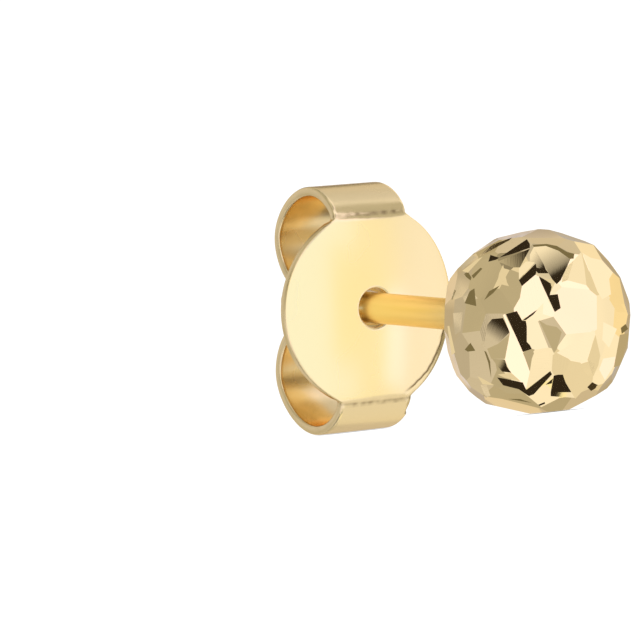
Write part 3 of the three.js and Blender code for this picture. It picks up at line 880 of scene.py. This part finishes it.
def half_line(side, rise, depth, crest, back, grip, end):
    """The sheet's middle line on one side, as (y, height) from the disc's middle outwards."""
    fold_height = FOLD_SHARE * DISC_RADIUS

    def disc_y(h):
        return disc_middle + FOLD_DROP * (h / fold_height) ** 2

    fold = Vector((disc_y(fold_height), fold_height))
    top = Vector((disc_edge + crest * depth, rise - SHEET / 2))
    rear = Vector((disc_edge + depth - SHEET / 2, back * rise))
    grip_start = Vector((disc_edge + grip * depth, grip_height))
    grip_end = Vector((disc_edge + end * depth, grip_height))
    reach = FOLD_TENSION * (top.y - fold.y)
    heights = [fold_height * i / DISC_ROWS for i in range(DISC_ROWS)]
    line = [Vector((disc_y(h), h)) for h in heights]
    line.append(fold)
    line += bezier(fold, fold + Vector((FOLD_LEAN * reach, reach)),
                   Vector((top.x - CREST_TENSION * (top.x - fold.x), top.y)), top, BEND_ROWS)
    line += bezier(top, top + Vector((CURVE_TENSION * (rear.x - top.x), 0)),
                   rear + Vector((0, CURVE_TENSION * (top.y - rear.y))), rear, BEND_ROWS)
    line += bezier(rear, rear - Vector((0, CURVE_TENSION * (rear.y - grip_start.y))),
                   grip_start + Vector((CURVE_TENSION * (rear.x - grip_start.x), 0)),
                   grip_start, BEND_ROWS)
    line += [grip_start.lerp(grip_end, (i + 1) / GRIP_ROWS) for i in range(GRIP_ROWS)]
    return line, fold_height


# %% [markdown]
# Each section along the line knows how wide the sheet is there and how it is shaped: bowed over the
# disc, cupped round the post at the grips.

# %% Make the sections
CUP = 0.3  # mm, how far the sides of a grip bend towards the post
CUP_ROWS = GRIP_ROWS + 12
FOLD_ROWS = BEND_ROWS // 3  # past the fold, where the rim may still roll
NECK_BLEND = 0.05  # mm, rounding where the disc runs into a strip
strip_start = math.sqrt(DISC_RADIUS ** 2 - (STRIP_WIDTH / 2) ** 2)


def half_width(run, whole):
    disc = math.sqrt(max(0.0, DISC_RADIUS ** 2 - run ** 2)) if run < DISC_RADIUS else 0.0
    share = max(0.0, (run - strip_start) / (whole - strip_start))
    strip = STRIP_WIDTH / 2 + share * (STRIP_END_WIDTH - STRIP_WIDTH) / 2
    over = max(0.0, 1 - abs(disc - strip) / NECK_BLEND)
    return max(disc, strip) + over * over * NECK_BLEND / 4


def half_sections(loop):
    line, fold_height = half_line(**loop)
    run = [0.0]
    for p, q in zip(line, line[1:]):
        run.append(run[-1] + (q - p).length)
    made = []
    for i, p in enumerate(line):
        way = line[min(i + 1, len(line) - 1)] - line[max(i - 1, 0)]
        way = Vector((0, 1)) if i == 0 else way.normalized()
        flat = min(1, max(0, (run[i] - fold_height) / (DISC_RADIUS - fold_height)))
        made.append({
            "y": p.x,
            "z": loop["side"] * p.y,
            "out": Vector((0, -way.y, loop["side"] * way.x)),
            "half": half_width(run[i], run[-1]),
            "bow": SIDE_DROP * (1 - flat),
            "cup": CUP * max(0, (i - len(line) + 1 + CUP_ROWS) / CUP_ROWS) ** 0.5 * -loop["side"],
            "from_fold": run[i] - strip_start,
            "disc_height": loop["side"] * p.y if i <= DISC_ROWS + FOLD_ROWS else None,
        })
    return made, run[-1]


upper, upper_length = half_sections(LOOPS["upper"])
lower, lower_length = half_sections(LOOPS["lower"])
rows = list(reversed(lower[1:])) + upper
print("flat blank in mm:", round(upper_length + lower_length, 2), "by", 2 * DISC_RADIUS)

# %% [markdown]
# Bending and polishing leave their marks. The sheet sinks a little along its creases, and the disc's
# rim is rolled over at the lower right. Painted shade darkens the outer skin along the creases and in a
# thin line where the rim rolls over. Inside the loops, where no buff reaches, there is a thin patchy
# film of residue.

# %% Mark the creases and the rim
CREASE_DEPTH = 0.022  # mm, where a strip is folded from the disc
CREASE_WIDTH = 0.035  # mm
CREASE_WAVER = 0.025  # mm
CREASE_PLACE = 0.03  # mm past the start of the strip
CREASE_SHADE_PLACE = 0.05  # mm, the same for the painted shade along the crease
RIM_LINE = 0.92  # of the disc's radius, where its rim starts to roll over at the lower right
RIM_WAVER = 0.012  # of the disc's radius
RIM_DEPTH = 0.07  # mm
RIM_STEP = 0.4  # of that depth, which comes at once
RIM_START = -70  # degrees round the disc from its right side
RIM_END = 2
RIM_FADES = (8, 14)  # degrees over which the roll comes and goes
RIM_SHADE_WIDTH = 0.012  # of the disc's radius, how wide the painted dark line along the rolled rim is
INNER_SOIL = 0.04  # the film of residue on the inner skin
INNER_PATCHES = 0.12  # how unevenly it lies
INNER_WAVES = 3.5  # per mm


def uneven(x, row, waves, where):
    """A value that wavers about 0 along a crease, another one for each where."""
    return noise(Vector((x * waves, row["z"], where)))


def near_crease(x, row, place):
    """1 on the wavering line at that place past a strip's start, 0 far from it."""
    waver = CREASE_WAVER * uneven(x, row, 5, 2)
    return math.exp(-((row["from_fold"] - place - waver) / CREASE_WIDTH) ** 2)


def rim_line(x, row):
    """How far a place is from the disc's middle, how rolled the rim is there, and where it starts."""
    if row["disc_height"] is None or x <= 0:
        return 0, 0, RIM_LINE
    reach = Vector((x, row["disc_height"]))
    angle = math.degrees(math.atan2(reach.y, reach.x))
    coming, going = (angle - RIM_START) / RIM_FADES[0], (RIM_END - angle) / RIM_FADES[1]
    share = min(1, max(0, coming)) * min(1, max(0, going))
    return reach.length, share, RIM_LINE + RIM_WAVER * noise(Vector((angle * 0.2, 3, 0)))


def dip(x, row):
    """How far the outer skin lies below its plain place, at the creases and the rolled rim."""
    depth = CREASE_DEPTH * near_crease(x, row, CREASE_PLACE) * (0.8 + 0.5 * uneven(x, row, 6, 0))
    reach, share, line = rim_line(x, row)
    over = max(0, reach / DISC_RADIUS - line) / (1 - line)
    return depth + share * RIM_DEPTH * (min(1, over * 5) * RIM_STEP + over ** 2 * (1 - RIM_STEP))


def painted_shade_at(x, row):
    """How much painted shade, from 0 to 1, lies on the outer skin along its creases and rolled rim."""
    painted_dark = (0.5 + 0.5 * uneven(x, row, 7, 5)) * near_crease(x, row, CREASE_SHADE_PLACE)
    reach, share, line = rim_line(x, row)
    painted_dark += share * math.exp(-((reach / DISC_RADIUS - line) / RIM_SHADE_WIDTH) ** 2)
    return min(1, max(0, painted_dark))


def inner_soil_at(place):
    """How much polish residue, from 0 to 1, lies as a patchy film on the inner skin."""
    return max(0, INNER_SOIL + INNER_PATCHES * noise(place * INNER_WAVES))


# %% [markdown]
# A stamped blank has square edges, and tumbling rounds them off a little. So each section is a flat
# band with blunt round ends, and neighbouring sections are joined into one closed skin. The skin
# carries the painted shade and the residue as a number at each of its corners.

# %% Skin the sheet
ACROSS = 76
EDGE = 0.085  # mm, how far in from the side the rounding starts
EDGE_STEPS = 10
EDGE_SQUARENESS = 0.5  # 1 rounds an edge like an ellipse, less makes it squarer


def squarer(share):
    return math.copysign(abs(share) ** EDGE_SQUARENESS, share)


sheet = bmesh.new()
painted_shade_and_residue = sheet.verts.layers.float.new("painted_shade_and_residue")
rings = []
for row in rows:
    flat_half = row["half"] - EDGE
    outer = [(flat_half * (2 * k / ACROSS - 1), SHEET / 2) for k in range(ACROSS + 1)]
    end = []
    for k in range(1, EDGE_STEPS):
        angle = math.pi * (0.5 - k / EDGE_STEPS)
        end.append((flat_half + EDGE * squarer(math.cos(angle)), SHEET / 2 * squarer(math.sin(angle))))
    inner = [(x, -y) for x, y in reversed(outer)]
    ring = []
    for x, offset in outer + end + inner + [(-x, -y) for x, y in end]:
        middle = Vector((x, row["y"] + row["bow"] * (x / DISC_RADIUS) ** 2, row["z"]))
        middle.z += row["cup"] * (x / (STRIP_END_WIDTH / 2)) ** 2
        if offset > 0:
            offset -= dip(x, row) * offset / (SHEET / 2)
        point = sheet.verts.new(middle + row["out"] * offset)
        # the outer skin gets painted shade along its creases and rim, the inner skin its film of residue
        point[painted_shade_and_residue] = painted_shade_at(x, row) if offset > 0 else inner_soil_at(middle)
        ring.append(point)
    rings.append(ring)
count = len(rings[0])
for low, high in zip(rings, rings[1:]):
    for k in range(count):
        n = (k + 1) % count
        sheet.faces.new((low[k], low[n], high[n], high[k]))
sheet.faces.new(rings[0])
sheet.faces.new(rings[-1])
bmesh.ops.recalc_face_normals(sheet, faces=sheet.faces)
for face in sheet.faces:
    face.smooth = True
butterfly = new_object("butterfly_sheet", mesh_from("butterfly_sheet", sheet))
print("sections:", len(rings), "corners in each:", count)

# %% [markdown]
# The hole is punched from the front, which draws its rim in like a funnel. A turned cutter of that
# shape takes the metal away.

# %% Pierce the hole
HOLE_RADIUS = 0.44  # mm
HOLE_ROUNDING = 0.09  # mm
HOLE_SIDES = 96

front = disc_middle - SHEET / 2
funnel = [(0, front - SHEET), (HOLE_RADIUS + HOLE_ROUNDING, front - SHEET)]
for sine, cosine in QUARTER:
    funnel.append((HOLE_RADIUS + HOLE_ROUNDING * (1 - sine), front + HOLE_ROUNDING * (1 - cosine)))
funnel += [(HOLE_RADIUS, front + 2 * SHEET), (0, front + 2 * SHEET)]
cutter = turned("hole_cutter", funnel, HOLE_SIDES)
pierce = butterfly.modifiers.new("hole", "BOOLEAN")
pierce.operation = "DIFFERENCE"
pierce.solver = "EXACT"
pierce.object = cutter
bpy.context.view_layer.update()
pierced = bpy.data.meshes.new_from_object(
    butterfly.evaluated_get(bpy.context.evaluated_depsgraph_get()))
butterfly.modifiers.clear()
butterfly.data = pierced
bpy.data.objects.remove(cutter)
butterfly.data.transform(lie)
print("faces in the back's mesh:", len(butterfly.data.polygons))

# %% [markdown]
# The sheet is buffed, not cut, so its shine is softer than the ball's and its surface undulates
# faintly. The gold turns brown where the skin carries painted shade, along the creases and the rolled
# rim, and where it carries the film of residue inside the loops.

# %% Finish the sheet
# brown for the painted shade on the outer skin and for the residue film on the inner skin
RESIDUE_AND_SHADE = (0.2, 0.12, 0.05, 1)
SHEET_ROUGHNESS = (0.2, 0.32)

sheet_gold, tree, shader = gold("sheet_gold", 0.2)
place = add(tree, "TexCoord")
wave = add(tree, "TexNoise", Scale=700.0, Detail=2.0, Roughness=0.5)
grain = add(tree, "TexNoise", Scale=30000.0, Detail=2.0)
wide = add(tree, "Bump", Strength=0.25, Distance=0.00003)
fine = add(tree, "Bump", Strength=0.03, Distance=0.00001)
# the painted shade and the residue, as the skin carries them
shade_and_residue = add(tree, "Attribute", attribute_name="painted_shade_and_residue")
tone = add(tree, "MixRGB", Color1=GOLD, Color2=RESIDUE_AND_SHADE)
join(shade_and_residue, "Fac", tone, "Fac")
join(tone, "Color", shader, "Base Color")
join(place, "Object", wave, "Vector")
join(place, "Object", grain, "Vector")
join(wave, "Fac", wide, "Height")
join(grain, "Fac", fine, "Height")
join(wide, "Normal", fine, "Normal")
join(fine, "Normal", shader, "Normal")
join(remap(wave, "Fac", *SHEET_ROUGHNESS), "Result", shader, "Roughness")
butterfly.data.materials.clear()
butterfly.data.materials.append(sheet_gold)
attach(butterfly, "back")
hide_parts("butterfly_back")
